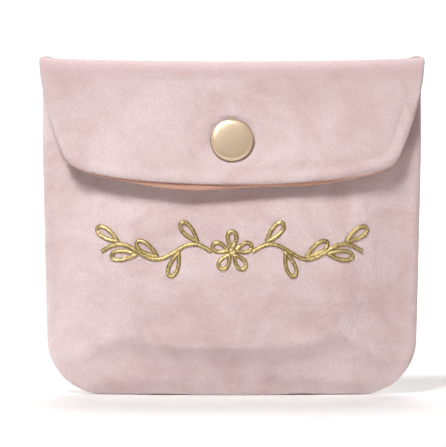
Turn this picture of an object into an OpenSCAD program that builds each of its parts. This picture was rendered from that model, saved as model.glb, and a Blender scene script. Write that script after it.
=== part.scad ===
// Small padded velvet pouch with a flap that folds over the mouth and closes with a spring snap.
// X runs across the bag, Y from front to back and Z up. It stands on its base, on z = 0.
// Every fabric layer is a sheet between two nested surfaces, which are insets of the outer shape.

/* [Bag] */
// Width across the fold at the top
bag_w = 134.5; // [100:0.5:200]
// Width between the two side lines, carried down to the base
bottom_w = 129; // [95:0.5:195]
// Height of the fold above the base, at the middle
bag_h = 116.5; // [100:0.5:180]
// Extra height of the fold's two ends
corner_rise = 1.5; // [0:0.1:3]
// Radius of the two bottom corners, seen from the front
corner_r = 19; // [10:0.5:24]
// Depth of the filled belly, from front to back
belly_depth = 28.8; // [24:0.2:44]
// Height of the belly's deepest line
belly_z = 42; // [32:0.5:52]
// Depth of the flat base at its middle
base_depth = 18; // [10:0.5:22]
// Drop from the fold's top to the mouth's front edge
mouth_drop = 11; // [10:0.5:20]

/* [Fold] */
// Depth of the fold over the mouth, at the middle
fold_depth = 15.6; // [14:0.2:20]
// How much shallower each end of the fold is on either side of the middle plane
fold_pinch = 2.4; // [0:0.1:3]
// Height of the fold's curve
fold_rise = 7; // [5.5:0.1:9]
// Angle left free on each side of a fold line
fold_gap = 2.2; // [1:0.1:4]

/* [Layers] */
// Thickness of the velvet
velvet_t = 0.8; // [0.5:0.05:1]
// Thickness of the padding
padding_t = 1; // [0.8:0.05:1.4]
// Thickness of the lining
lining_t = 0.4; // [0.3:0.05:0.6]
// Free space between the velvet and the padding, where the embroidery's backing lies
backing_space = 0.3; // [0.2:0.05:0.5]
// Thickness of the embroidery's backing
backing_t = 0.12; // [0.05:0.01:0.15]
// Free space between the padding and the lining
layer_gap = 0.1; // [0.05:0.01:0.2]

/* [Flap] */
// Drop from the fold's top to the flap's lower edge, at the middle
flap_drop = 43.2; // [39:0.2:52]
// Drop from the fold's top to the ends of the flap's side edges
flap_side_drop = 31; // [25:0.5:35]
// How far each side edge runs in, from the fold to its end
flap_taper = 8; // [2:0.5:14]
// Rise of the lower edge towards its ends, before the corners round off
flap_bow = 3.5; // [0:0.1:6]
// Free space between the flap and the front
flap_gap = 1.4; // [1.2:0.05:1.8]
// How much further the flap's lower edge stands off
flap_flare = 0.6; // [0:0.1:1.5]

/* [Snap] */
// Drop from the fold's top to the middle of the cap
snap_drop = 28.2; // [25:0.1:31]
// Radius of the cap
cap_r = 7.5; // [6:0.1:8]
// Height of the cap's dome
cap_h = 1.5; // [1:0.1:2.5]
// Thickness of the cap's shell
cap_t = 0.35; // [0.25:0.05:0.5]
// Radius of the hollow posts that hold the snap
post_r = 1.6; // [1.2:0.1:1.8]
// Thickness of the stud's wall around its post
stud_wall = 0.3; // [0.2:0.05:0.5]
// How far the stud's head stands out over its neck
stud_lip = 0.4; // [0.2:0.05:0.5]
// Radius of the stud's flange
stud_flange_r = 4.5; // [3.5:0.1:4.8]
// Height of the stud above the front
stud_h = 2.4; // [2:0.1:2.6]
// Space around the stud's head in the socket, where the spring lies
well_room = 1.2; // [1:0.1:1.4]
// Thickness of the socket's wall
socket_wall = 1.3; // [0.8:0.1:1.6]
// Radius of the spring's wire
spring_r = 0.2; // [0.15:0.01:0.25]
// Radial space between metal pieces, and between metal and fabric
metal_gap = 0.1; // [0.05:0.01:0.2]
// Radius of the two reinforcing patches
patch_r = 6.8; // [6:0.1:8]

/* [Stitching] */
// Radius of the seam threads
thread_r = 0.3; // [0.2:0.05:0.35]
// Radius of the embroidery's raised lines
motif_r = 0.35; // [0.25:0.05:0.5]
// Half the width of the embroidered sprig
motif_half_w = 45; // [25:1:52]
// Height of the sprig's middle above the base
motif_z = 50; // [40:1:58]
// Length of a leaf
leaf_l = 8.5; // [5:0.5:10]

/* [Hidden] */
$fn = 48;

velvet_color = [0.87, 0.76, 0.76];
padding_color = [0.95, 0.94, 0.91];
lining_color = [0.84, 0.63, 0.55];
gold_color = [0.86, 0.74, 0.58];
thread_color = [0.85, 0.70, 0.68];
motif_color = [0.80, 0.70, 0.35];
steel_color = [0.75, 0.74, 0.72];

// Depth of each layer's two faces below the outer surface
padding_d = velvet_t + backing_space;
lining_d = padding_d + padding_t + layer_gap;
wall_t = lining_d + lining_t;

// Heights that follow the fold
mouth_z = bag_h - mouth_drop;
flap_low_z = bag_h - flap_drop;
flap_corner_z = bag_h - flap_side_drop;
snap_z = bag_h - snap_drop;

// Radii of the snap's two halves, from the post outwards
neck_r = post_r + metal_gap + stud_wall;
stud_r = neck_r + stud_lip;
well_r = stud_r + well_room;
socket_r = well_r + socket_wall;

// Centre of the fold's curve, and the half depths of the outer shape
fold_z = bag_h - fold_rise;
fold_mid = fold_depth / 2;
fold_end = fold_mid - fold_pinch;
belly = belly_depth / 2;
front_belly = belly - 2 * motif_r;
front_top = fold_mid - wall_t - flap_gap;
base_half = base_depth / 2;

// Sideways the surfaces follow (1 - |u|^lens_n)^lens_m, and the base's edge is a superellipse
lens_n = 2.2;
lens_m = 0.75;
base_n = 2.5;
// The side seams start to lean back here, towards the fold's ends
lean_z = mouth_z - 20;

// Numbers of steps: across, mouth to belly, belly to corner, round the corner, under the base
across = 16;
upper = 7;
lower = 3;
round_steps = 6;
under = 2;
fold_steps = 6;
shoulder = 3;
flap_steps = 8;
facing_rows = 3;

// ---------- Shape of the bag ----------

function mix(a, b, t) = a + (b - a) * t;
function smooth(t) = t <= 0 ? 0 : t >= 1 ? 1 : t * t * (3 - 2 * t);
function lens(u) = pow(max(0, 1 - pow(abs(u), lens_n)), lens_m);
function column(j) = sin(mix(-90, 90, j / across));

function half_w(z) = mix(bottom_w, bag_w, min(z, fold_z) / fold_z) / 2;
function lean(z) = fold_end * smooth((z - lean_z) / (fold_z - lean_z));

// Half depth at the middle, at height z, for a wall with this belly and this depth at the top
function below_belly(z, deep) =
  base_half + (deep - base_half) * pow(max(0, 1 - pow(1 - z / belly_z, base_n)), 1 / base_n);
function above_belly(z, deep, top) = mix(deep, top, (1 - cos(180 * (z - belly_z) / (fold_z - belly_z))) / 2);
function half_depth(z, deep, top) = z < belly_z ? below_belly(z, deep) : above_belly(z, deep, top);
function front_depth(z) = half_depth(z, front_belly, front_top);
function back_depth(z) = half_depth(z, belly, fold_mid);

// The rows of both walls, from the mouth's height down to the base, as [height, corner angle]
wall_rows = concat(
  [for (i = [0:upper]) [mix(mouth_z, belly_z, i / upper), 90]],
  [for (i = [1:lower]) [mix(belly_z, corner_r, i / lower), 90]],
  [for (i = [round_steps - 1:-1:0]) [corner_r * (1 - cos(90 * i / round_steps)), 90 * i / round_steps]]
);
last_side_row = len(wall_rows) - 1;

function row_z(row, d) = row[1] < 90 ? d + (corner_r - d) * (1 - cos(row[1])) : row[0];
function row_x(row, d) = half_w(row[0]) - d - (corner_r - d) * (1 - sin(row[1]));

// A point of the front or back wall, inset by d
function front_point(row, u, d) =
  let (side = lean(row[0]))
  [u * row_x(row, d), side - (front_depth(row[0]) - d + side) * lens(u), row_z(row, d)];
function back_point(row, u, d) =
  let (side = lean(row[0]))
  [u * row_x(row, d), side + (back_depth(row[0]) - d - side) * lens(u), row_z(row, d)];

// A point of the fold's curve, inset by d, at an angle measured from the back
function fold_a(u) = mix(fold_end, fold_mid, lens(u));
function fold_h(u) = fold_rise + corner_rise * (1 - lens(u));
function fold_point(angle, u, d) =
  [u * (bag_w / 2 - d), (fold_a(u) - d) * cos(angle), fold_z + (fold_h(u) - d) * sin(angle)];

// The fold lines run just outside the fold's two shoulders. There, the fold unrolls to its own length.
quarter = 90 * PI / 180 * sqrt((fold_mid * fold_mid + fold_rise * fold_rise) / 2);
axis_y = (quarter + fold_mid - fold_rise) / 2;
axis_up = (quarter - fold_mid + fold_rise) / 2;
echo(fold_axis_y = axis_y, fold_axis_z = fold_z + axis_up);

// Angle on the fold's curve at which the plane through its centre and the fold line cuts it
function mitre(u, d) = atan2(axis_up / (fold_h(u) - d), axis_y / (fold_a(u) - d));

function base_rows(pts, sign) =
  [for (k = [1:under]) [for (p = pts) [p[0], sign * abs(p[1]) * (1 - k / under), p[2]]]];

function front_face(d, first, last) =
  [for (i = [first:last]) [for (j = [0:across]) front_point(wall_rows[i], column(j), d)]];
function back_face(d) =
  [for (i = [0:last_side_row]) [for (j = [0:across]) back_point(wall_rows[i], column(j), d)]];
function front_wall(d) =
  let (side = front_face(d, 0, last_side_row))
  concat(side, base_rows(side[last_side_row], -1));

// The back wall goes on above the mouth, to the first fold line
function back_wall(d) =
  let (side = back_face(d))
  let (rise = [for (k = [shoulder:-1:0])
    [for (j = [0:across]) fold_point((mitre(column(j), d) - fold_gap) * k / shoulder, column(j), d)]])
  concat(rise, side, base_rows(side[last_side_row], 1));

function fold_face(d) =
  [for (k = [0:fold_steps]) [for (j = [0:across])
    let (from = mitre(column(j), d) + fold_gap)
    fold_point(mix(from, 180 - from, k / fold_steps), column(j), d)]];

// ---------- Shape of the flap ----------

corner_n = 4.5;
function flap_low(u) = let (ends = flap_corner_z - flap_low_z - flap_bow)
  flap_low_z + flap_bow * u * u + ends * (1 - pow(max(0, 1 - pow(abs(u), corner_n)), 1 / corner_n));
function flap_half_w(z) = bag_w / 2 - flap_taper * (fold_z - z) / (fold_z - flap_corner_z);
function flare(z) = flap_flare * pow((fold_z - z) / (fold_z - flap_low_z), 2);

// A point of the flap below the fold, inset by d from its outer face and by edge from its outline
function flap_point(v, u, d, edge) =
  let (z = mix(fold_z, flap_low(u) + edge, v))
  let (x = u * (flap_half_w(z) - edge))
  let (mid = front_depth(z) + flap_gap + wall_t)
  [x, d - mix(fold_end, mid, lens(x / half_w(z))) - flare(z), z];
function flap_root(k, u, d, edge) =
  let (p = fold_point(180 - (mitre(u, d) - fold_gap) * (1 - k / shoulder), u, d))
  [u * (bag_w / 2 - edge), p[1], p[2]];

function flap_face(d, edge) = concat(
  [for (k = [0:shoulder - 1]) [for (j = [0:across]) flap_root(k, column(j), d, edge)]],
  [for (i = [0:flap_steps]) [for (j = [0:across]) flap_point(i / flap_steps, column(j), d, edge)]]
);

// ---------- Building blocks ----------

// A closed sheet between two grids of points. Below row pinch_row the grid's two end columns
// stay at one point, where the base runs out.
module sheet(near, far, pinch_row = 1000) {
  rows = len(near);
  cols = len(near[0]);
  count = rows * cols;
  function at(i, j, far_side) =
    (far_side ? count : 0) + (i > pinch_row && (j == 0 || j == cols - 1) ? pinch_row : i) * cols + j;
  function quad(a, b, c, d) = [[a, b, c], [a, c, d]];
  points = concat([for (r = near) each r], [for (r = far) each r]);
  cells = [for (i = [0:rows - 2], j = [0:cols - 2]) each concat(
    quad(at(i, j, false), at(i, j + 1, false), at(i + 1, j + 1, false), at(i + 1, j, false)),
    quad(at(i, j, true), at(i + 1, j, true), at(i + 1, j + 1, true), at(i, j + 1, true)))];
  ends = [for (j = [0:cols - 2]) each concat(
    quad(at(0, j, false), at(0, j, true), at(0, j + 1, true), at(0, j + 1, false)),
    quad(at(rows - 1, j, false), at(rows - 1, j + 1, false), at(rows - 1, j + 1, true), at(rows - 1, j, true)))];
  sides = [for (i = [0:rows - 2]) each concat(
    quad(at(i, 0, false), at(i + 1, 0, false), at(i + 1, 0, true), at(i, 0, true)),
    quad(at(i, cols - 1, false), at(i, cols - 1, true), at(i + 1, cols - 1, true), at(i + 1, cols - 1, false)))];
  polyhedron(
    points = points,
    faces = [for (t = concat(cells, ends, sides)) if (t[0] != t[1] && t[1] != t[2] && t[2] != t[0]) t]
  );
}

// A tube along a path that runs across the bag's front, with an open or a closed path
module thread(path, r, sides = 6, closed = false) {
  n = len(path);
  function prev(i) = closed ? path[(i + n - 1) % n] : path[max(i - 1, 0)];
  function next(i) = closed ? path[(i + 1) % n] : path[min(i + 1, n - 1)];
  function unit(v) = v / norm(v);
  function ring(i) =
    let (along = unit(next(i) - prev(i)))
    let (out = unit([0, -1, 0] - along * (along * [0, -1, 0])))
    let (across_dir = cross(along, out))
    [for (k = [0:sides - 1]) path[i] + r * (out * cos(360 * k / sides) + across_dir * sin(360 * k / sides))];
  points = [for (i = [0:n - 1]) each ring(i)];
  spans = [for (i = [0:(closed ? n - 1 : n - 2)], k = [0:sides - 1])
    let (a = i * sides, b = ((i + 1) % n) * sides, k2 = (k + 1) % sides)
    each [[a + k, b + k, b + k2], [a + k, b + k2, a + k2]]];
  caps = closed ? [] : concat(
    [for (k = [1:sides - 2]) [0, k, k + 1]],
    [for (k = [1:sides - 2]) [(n - 1) * sides, (n - 1) * sides + k + 1, (n - 1) * sides + k]]);
  polyhedron(points = points, faces = concat(spans, caps));
}

// ---------- Snap's axis ----------

function front_slope(z) = (front_depth(z - 1) - front_depth(z + 1)) / 2;
snap_tilt = atan(front_slope(snap_z));
flap_in = (flap_gap + flare(snap_z)) * cos(snap_tilt);
flap_out = flap_in + wall_t * cos(snap_tilt);
stud_z = snap_z - flap_out * sin(snap_tilt);
wall_in = wall_t * cos(snap_tilt);

// Puts a child on the snap's axis, whose zero is the front velvet's outer face
module on_snap(s) {
  translate([0, -front_depth(stud_z), stud_z]) rotate([90 - snap_tilt, 0, 0]) translate([0, 0, s]) children();
}
module disc(r, from, to) {
  on_snap(from) cylinder(r = r, h = to - from);
}

// How deep the flanges press into the fabric
press = 0.3;
flange_t = 0.5;
socket_from = press + flange_t - 0.25;
socket_floor = stud_h + 0.25;
socket_to = socket_floor + 0.35;
cap_from = flap_out - press;
reach = 30;

// Room that the metal pieces need in the front wall and in the flap
module stud_room() {
  disc(post_r + metal_gap, -wall_in - reach / 4, reach);
  disc(stud_flange_r + metal_gap, -press, reach);
  disc(stud_flange_r + metal_gap, -wall_in - reach / 4, -wall_in + press);
}
module flap_room() {
  disc(post_r + metal_gap, -press, reach);
  disc(socket_r + metal_gap, -press, socket_to + metal_gap / 2);
  disc(cap_r + metal_gap, cap_from, reach);
}

// ---------- Front and back walls ----------

module front_velvet() {
  color(velvet_color) difference() {
    sheet(front_wall(0), front_wall(velvet_t), last_side_row);
    stud_room();
  }
}
module front_padding() {
  color(padding_color) difference() {
    sheet(front_wall(padding_d), front_wall(padding_d + padding_t), last_side_row);
    disc(patch_r + metal_gap, -wall_in - reach / 4, reach / 4);
  }
}
module front_lining() {
  color(lining_color) {
    rows = function (d) [for (i = [facing_rows:last_side_row + under]) front_wall(d)[i]];
    sheet(rows(lining_d), rows(wall_t), last_side_row - facing_rows);
  }
}
module mouth_facing() {
  color(velvet_color) difference() {
    sheet(front_face(lining_d, 0, facing_rows), front_face(wall_t, 0, facing_rows));
    stud_room();
  }
}

back_pinch_row = last_side_row + shoulder + 1;
module back_layer(from, to) {
  sheet(back_wall(to), back_wall(from), back_pinch_row);
}
module back_velvet() {
  color(velvet_color) back_layer(0, velvet_t);
}
module back_padding() {
  color(padding_color) back_layer(padding_d, padding_d + padding_t);
}
module back_lining() {
  color(lining_color) back_layer(lining_d, wall_t);
}

// ---------- Seam and embroidery ----------

module seam_thread() {
  inset = velvet_t / 2;
  side = [for (row = wall_rows) [row_x(row, inset), lean(row[0]), row_z(row, inset)]];
  color(thread_color) thread(
    concat(side, [for (i = [len(side) - 1:-1:0]) [-side[i][0], side[i][1], side[i][2]]]), thread_r);
}

// The backing covers whole cells of the wall's grid behind the sprig
backing_top_row = 5;
backing_end_row = 8;
backing_skip = 3;
module embroidery_backing() {
  from = velvet_t + (backing_space - backing_t) / 2;
  function patch(d) = [for (i = [backing_top_row:backing_end_row])
    [for (j = [backing_skip:across - backing_skip]) front_point(wall_rows[i], column(j), d)]];
  color(padding_color) sheet(patch(from), patch(from + backing_t));
}

// A point of the sprig's drawing, laid on the front
function on_front(x, z) =
  [x, -front_depth(z) * lens(x / half_w(z)) - motif_r, z];

stem_from = 7;
stem_wave = 2.6;
stem_turns = 1.5;
leaf_count = 5;
leaf_open = 38;
leaf_points = 10;
leaf_half_w = 0.24;
petal_count = 5;
petal_l = 5.6;
petal_half_w = 0.36;
stem_points = 18;

function stem_z(x) = motif_z + stem_wave * sin(360 * stem_turns * (x - stem_from) / (motif_half_w - stem_from));
function stem_angle(x) = atan2(stem_z(x + 0.5) - stem_z(x - 0.5), 1);

// A teardrop outline from a point, as long as l, leaning at an angle
function teardrop(x, z, l, lean_angle, width) = [for (k = [0:leaf_points - 1])
  let (t = 360 * k / leaf_points)
  let (along = l * (1 - cos(t)) / 2, aside = l * width * sin(t) * sin(t / 2))
  [x + along * cos(lean_angle) - aside * sin(lean_angle), z + along * sin(lean_angle) + aside * cos(lean_angle)]];

module outline(points, side) {
  thread([for (p = points) on_front(side * p[0], p[1])], motif_r, 4, true);
}
module half_sprig(side) {
  ends = [for (k = [0:stem_points]) mix(stem_from, motif_half_w, k / stem_points)];
  thread([for (x = ends) on_front(side * x, stem_z(x))], motif_r, 4);
  for (k = [0:leaf_count - 1]) {
    x = mix(stem_from, motif_half_w, (k + 0.75) / (leaf_count + 0.6));
    up = k % 2 == 0 ? 1 : -1;
    away = motif_r * 2.8;
    turn = stem_angle(x) + up * leaf_open;
    outline(teardrop(x - away * sin(stem_angle(x)) * up, stem_z(x) + away * up, leaf_l, turn, leaf_half_w), side);
  }
}
module front_motif() {
  color(motif_color) {
    half_sprig(1);
    half_sprig(-1);
    for (k = [0:petal_count - 1]) {
      turn = 90 + 360 * k / petal_count;
      outline(teardrop(1.4 * cos(turn), motif_z + 1.4 * sin(turn), petal_l, turn, petal_half_w), 1);
    }
  }
}

// ---------- Snap on the front wall ----------

module snap_stud() {
  head_from = stud_h - 0.9;
  profile = [
    [post_r + metal_gap, -press],
    [stud_flange_r, -press],
    [stud_flange_r, flange_t - press],
    [neck_r, flange_t - press],
    [neck_r, head_from],
    [stud_r, head_from + 0.3],
    [stud_r, stud_h - 0.3],
    [stud_r - 0.3, stud_h],
    [0, stud_h],
    [0, stud_h - 0.5],
    [post_r + metal_gap, stud_h - 0.5]
  ];
  color(gold_color) on_snap(0) rotate_extrude() polygon(profile);
}
module stud_rivet() {
  back = -wall_in + press;
  color(gold_color) {
    disc(stud_flange_r, back - flange_t, back);
    disc(post_r, back - flange_t / 2, stud_h - 0.6);
  }
}
module patch_ring(hole_r, middle) {
  patch_t = padding_t / 2;
  color(padding_color) difference() {
    disc(patch_r, middle - patch_t / 2, middle + patch_t / 2);
    disc(hole_r, middle - patch_t, middle + patch_t);
  }
}
module stud_patch() {
  patch_ring(post_r + metal_gap, -(padding_d + padding_t / 2) * cos(snap_tilt));
}

// ---------- Fold ----------

module fold_layer(from, to) {
  sheet(fold_face(to), fold_face(from));
}
module fold_velvet() {
  color(velvet_color) fold_layer(0, velvet_t);
}
module fold_padding() {
  color(padding_color) fold_layer(padding_d, padding_d + padding_t);
}
module fold_lining() {
  color(lining_color) fold_layer(lining_d, wall_t);
}

// ---------- Flap ----------

// The padding stops short of the edge, where the velvet and the lining are sewn together
padding_edge = 1.6;
lining_edge = 0.2;
module flap_velvet() {
  color(velvet_color) difference() {
    sheet(flap_face(0, 0), flap_face(velvet_t, 0));
    flap_room();
  }
}
module flap_padding() {
  color(padding_color) difference() {
    sheet(flap_face(padding_d, padding_edge), flap_face(lining_d - 2 * layer_gap, padding_edge));
    disc(patch_r + metal_gap, -reach / 4, reach / 2);
  }
}
module flap_lining() {
  color(lining_color) difference() {
    sheet(flap_face(lining_d, lining_edge), flap_face(wall_t, lining_edge));
    flap_room();
  }
}
module flap_edge_thread() {
  depth = (velvet_t + lining_d) / 2;
  inset = padding_edge / 2;
  side_from = 1;
  left = [for (i = [side_from:flap_steps - 1]) flap_point(i / flap_steps, -1, depth, inset)];
  low = [for (j = [0:across]) flap_point(1, column(j), depth, inset)];
  right = [for (i = [flap_steps - 1:-1:side_from]) flap_point(i / flap_steps, 1, depth, inset)];
  color(thread_color) thread(concat(left, low, right), thread_r);
}

// ---------- Snap on the flap ----------

dome_steps = 8;
// Height of the cap's outer face at a distance from its middle, for a face lowered by t
function dome(r, t) = cap_h - t - (cap_h - 0.8) * pow(r / cap_r, 4);
module snap_cap() {
  outer = [for (k = [0:dome_steps]) [cap_r * k / dome_steps, press + dome(cap_r * k / dome_steps, 0)]];
  inner_r = cap_r - cap_t;
  inner = [for (k = [dome_steps:-1:0]) [inner_r * k / dome_steps, press + dome(inner_r * k / dome_steps, cap_t)]];
  color(gold_color) on_snap(cap_from) rotate_extrude() polygon(concat(outer, [[cap_r, 0], [inner_r, 0]], inner));
}
module cap_eyelet() {
  eyelet_r = cap_r - cap_t - 2 * metal_gap;
  color(gold_color) {
    disc(eyelet_r, cap_from + metal_gap, cap_from + press + 0.15);
    disc(post_r, socket_floor + metal_gap, cap_from + press);
  }
}
module snap_socket() {
  color(gold_color) difference() {
    disc(socket_r, socket_from, socket_to);
    disc(well_r, socket_from - 1, socket_floor);
    disc(post_r + metal_gap, socket_from, socket_to + 1);
  }
}
module snap_spring() {
  ring_r = stud_r + metal_gap + spring_r;
  leg_l = sqrt(pow(well_r - metal_gap - spring_r, 2) - ring_r * ring_r);
  color(steel_color) on_snap(stud_h - 1.2) {
    rotate_extrude(angle = 180) translate([ring_r, 0]) circle(r = spring_r);
    for (side = [-1, 1]) translate([side * ring_r, 0, 0]) rotate([90, 0, 0]) cylinder(r = spring_r, h = leg_l);
  }
}
module flap_patch() {
  patch_ring(socket_r + metal_gap, flap_out - (padding_d + padding_t / 2) * cos(snap_tilt));
}

front_velvet();
front_padding();
front_lining();
mouth_facing();
back_velvet();
back_padding();
back_lining();
seam_thread();
embroidery_backing();
front_motif();
snap_stud();
stud_rivet();
stud_patch();
fold_velvet();
fold_padding();
fold_lining();
flap_velvet();
flap_padding();
flap_lining();
flap_edge_thread();
snap_cap();
cap_eyelet();
snap_socket();
snap_spring();
flap_patch();
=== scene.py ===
"""Looks of the velvet makeup bag: cloth, padding, embroidery and snap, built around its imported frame.

Shapes are worked out in millimetres in the row frame and turned into metres when a mesh is made.
"""

import math

import bmesh
import bpy
import numpy as np
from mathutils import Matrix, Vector
from mathutils.bvhtree import BVHTree


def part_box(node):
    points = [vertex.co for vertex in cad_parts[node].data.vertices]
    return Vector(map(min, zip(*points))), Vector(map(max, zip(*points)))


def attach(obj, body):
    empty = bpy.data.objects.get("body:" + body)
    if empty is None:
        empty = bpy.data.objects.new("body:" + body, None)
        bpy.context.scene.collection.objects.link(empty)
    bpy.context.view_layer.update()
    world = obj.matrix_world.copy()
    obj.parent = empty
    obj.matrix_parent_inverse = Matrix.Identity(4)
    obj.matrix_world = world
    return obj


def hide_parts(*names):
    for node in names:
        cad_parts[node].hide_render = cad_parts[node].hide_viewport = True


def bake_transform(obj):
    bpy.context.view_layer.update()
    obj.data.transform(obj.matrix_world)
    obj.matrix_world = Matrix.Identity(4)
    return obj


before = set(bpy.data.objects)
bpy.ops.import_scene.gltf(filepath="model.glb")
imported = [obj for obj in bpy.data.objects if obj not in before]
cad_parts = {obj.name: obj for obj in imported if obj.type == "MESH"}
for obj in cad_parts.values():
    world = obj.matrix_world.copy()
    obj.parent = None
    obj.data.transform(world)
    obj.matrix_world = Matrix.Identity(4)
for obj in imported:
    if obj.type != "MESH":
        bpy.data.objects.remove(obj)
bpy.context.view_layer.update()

# ---------- Sizes, in millimetres ----------

MM = 0.001
QUARTER_TURN = math.pi / 2


def corner(node, end):
    """A CAD node's lowest (0) or highest (1) corner, in millimetres."""
    return np.array(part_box(node)[end]) / MM


# What the frame itself says
TOP_HALF = corner("fold_velvet", 1)[0]
FRONT_BELLY = -corner("front_velvet", 0)[1]
BACK_BELLY = corner("back_velvet", 1)[1]
MOUTH_Z = corner("front_velvet", 1)[2]
FLAP_LOW_Z = corner("flap_velvet", 0)[2]
CAP_MIDDLE = (corner("snap_cap", 0) + corner("snap_cap", 1)) / 2

# The bag's shape, as the part has it
BOTTOM_HALF = 64.5
FOLD_Z = 109.5
FOLD_RISE = 7.0
CORNER_RISE = 1.5
FOLD_MID = 7.8
FOLD_END = 5.4
BELLY_Z = 42.0
BASE_HALF = 9.0
CORNER_R = 19.0
LEAN_Z = MOUTH_Z - 20
FACING_L = 27.5
FLAP_GAP = 1.4
FLAP_FLARE = 0.6
FLAP_CORNER_Z = 85.5
FLAP_TAPER = 8.0
FLAP_BOW = 3.5

# How the lower front is drawn in below its ridge: how far, how fast, and how soft the ridge is
TUCK = 5.0
TUCK_SLOPE = 0.95
RIDGE_SOFT = 0.8

# The back's free edges above the mouth: shares of the half width where its inner layers start to draw in and
# where they end, and how much thinner its padding gets
BOUND_FROM = 0.955
BOUND_PADDING = 0.970
BOUND_LINING = 0.991
PADDING_THINNED = 0.6

# The simulation that fills the walls
SETTLE_STEPS = 20
SETTLE_PRESSURE = 3.5
SETTLE_MOST = 1.3

# Layers: depth of each one's outer face below the bag's surface, and its thickness
VELVET_T = 0.8
PADDING_D = 1.1
PADDING_T = 1.0
LINING_D = 2.2
WALL_T = 2.6
HEM_T = WALL_T / 2
PADDING_MIDDLE = PADDING_D + PADDING_T / 2
FRONT_TOP = FOLD_MID - WALL_T - FLAP_GAP

# The snap, measured along its axis from the front's surface
POST_R = 1.6
CAP_R = 7.5
CAP_H = 1.5
PRESS = 0.3
FLANGE_T = 0.5
STUD_H = 2.4
STUD_R = 2.4
NECK_R = 2.0
STUD_FLANGE_R = 4.5
WELL_R = 3.6
SOCKET_R = 4.9
SPRING_R = 0.2
PATCH_R = 6.8
METAL_GAP = 0.1

# The embroidered sprig
MOTIF_Z = 50.0
MOTIF_HALF_W = 45.0
STEM_FROM = 7
LEAF_L = 8.5
PETAL_L = 5.6
PETAL_FROM = 1.4
KNOT_R = 0.6

# Steps across a panel and down it
ACROSS = 112
LEVEL_STEP = 1.3
CORNER_STEPS = 22
BASE_STEPS = 6
ROLL_STEPS = 12
EDGE_STEPS = 6
FLAP_ROWS = 60
SIDE_CROWDING = 0.7

# ---------- Shape of the bag ----------


def mix(a, b, t):
    return a + (b - a) * t


def smooth(t):
    t = np.clip(t, 0, 1)
    return t * t * (3 - 2 * t)


def bell(t):
    """1 at 0 and falling off to both sides."""
    return np.exp(-np.square(t))


def lens(u):
    return np.maximum(0, 1 - np.abs(u) ** 2.2) ** 0.75


def half_w(z):
    return mix(BOTTOM_HALF, TOP_HALF, np.minimum(z, FOLD_Z) / FOLD_Z)


def lean(z):
    return FOLD_END * smooth((z - LEAN_Z) / (FOLD_Z - LEAN_Z))


def half_depth(z, deep, top):
    rise = np.maximum(0, 1 - np.clip(1 - z / BELLY_Z, 0, 1) ** 2.5) ** 0.4
    low = BASE_HALF + (deep - BASE_HALF) * rise
    high = mix(deep, top, (1 - np.cos(math.pi * (z - BELLY_Z) / (FOLD_Z - BELLY_Z))) / 2)
    return np.where(z < BELLY_Z, low, high)


def front_depth(z):
    return half_depth(z, FRONT_BELLY, FRONT_TOP)


def back_depth(z):
    return half_depth(z, BACK_BELLY, FOLD_MID)


def fold_a(u):
    return mix(FOLD_END, FOLD_MID, lens(u))


def fold_h(u):
    return FOLD_RISE + CORNER_RISE * (1 - lens(u))


FRONT, BACK = -1, 1


def wall_rows(top, roll_steps):
    """Rows of a wall, from its top edge to the seam under the base: fold angle, height, corner angle and
    share of the way under the base."""
    close = top - HEM_T * (1 - np.cos(np.linspace(0, QUARTER_TURN, EDGE_STEPS)))
    count = 2 * round((close[-1] - CORNER_R) / LEVEL_STEP / 2)
    heights = np.concatenate([close, np.linspace(close[-1], CORNER_R, count + 1)[1:]])
    turns = np.linspace(QUARTER_TURN, 0, CORNER_STEPS + 1)[1:]
    rows = [(angle, FOLD_Z, QUARTER_TURN, 0) for angle in np.linspace(QUARTER_TURN, 0, roll_steps + 1)[:-1]]
    rows += [(0, z, QUARTER_TURN, 0) for z in heights]
    rows += [(0, CORNER_R * (1 - math.cos(turn)), turn, 0) for turn in turns]
    rows += [(0, 0, 0, (k + 1) / BASE_STEPS) for k in range(BASE_STEPS)]
    return np.array(rows)


def wall(rows, u, d, side):
    """Points of the front or back wall, inset by d, which is a number or one for each row."""
    d = np.broadcast_to(np.reshape(d, (-1, 1)), (len(rows), 1))
    roll, z, turn, under = (rows[:, k : k + 1] for k in range(4))
    half = half_w(z) - d - (CORNER_R - d) * (1 - np.sin(turn))
    height = np.where(turn < QUARTER_TURN, d + (CORNER_R - d) * (1 - np.cos(turn)), z)
    depth = front_depth(z) if side == FRONT else back_depth(z)
    points = np.empty((len(rows), len(u), 3))
    points[..., 0] = np.where(roll > 0, u * (TOP_HALF - d), u * half)
    level = (lean(z) + side * (depth - d - side * lean(z)) * lens(u)) * (1 - under)
    points[..., 1] = np.where(roll > 0, (fold_a(u) - d) * np.cos(roll), level)
    points[..., 2] = np.where(roll > 0, FOLD_Z + (fold_h(u) - d) * np.sin(roll), height)
    return points


def spread(steps, ends):
    """Places from -1 to 1, closer together towards both ends."""
    t = np.linspace(-1, 1, steps + 1)
    return mix(t, np.sin(t * QUARTER_TURN), ends)


def unit(v):
    return v / np.maximum(np.linalg.norm(v, axis=-1, keepdims=True), 1e-9)


def normals(points, outward):
    """Unit normals of a grid of points, on the side that outward points to at its middle."""
    down, along = np.gradient(points, axis=(0, 1))
    n = unit(np.cross(along, down))
    middle = n[n.shape[0] // 2, n.shape[1] // 2]
    return n if middle @ np.array(outward, float) > 0 else -n


def run_from(points, axis):
    """Length along a grid's lines from their first point."""
    step = np.linalg.norm(np.diff(points, axis=axis), axis=-1)
    pad = [(0, 0), (0, 0)]
    pad[axis] = (1, 0)
    return np.cumsum(np.pad(step, pad), axis=axis)


def to_seam(points):
    """Distance of each point of a wall from the seam at its sides and under the base."""
    across = run_from(points, 1)
    down = run_from(points, 0)
    return np.minimum(np.minimum(across, across[:, -1:] - across), down[-1:] - down)


def at_run(places, run, line):
    """Points of a line at these places, where its own points are at run."""
    return np.stack([np.interp(places, run, values) for values in line.T], -1)


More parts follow.
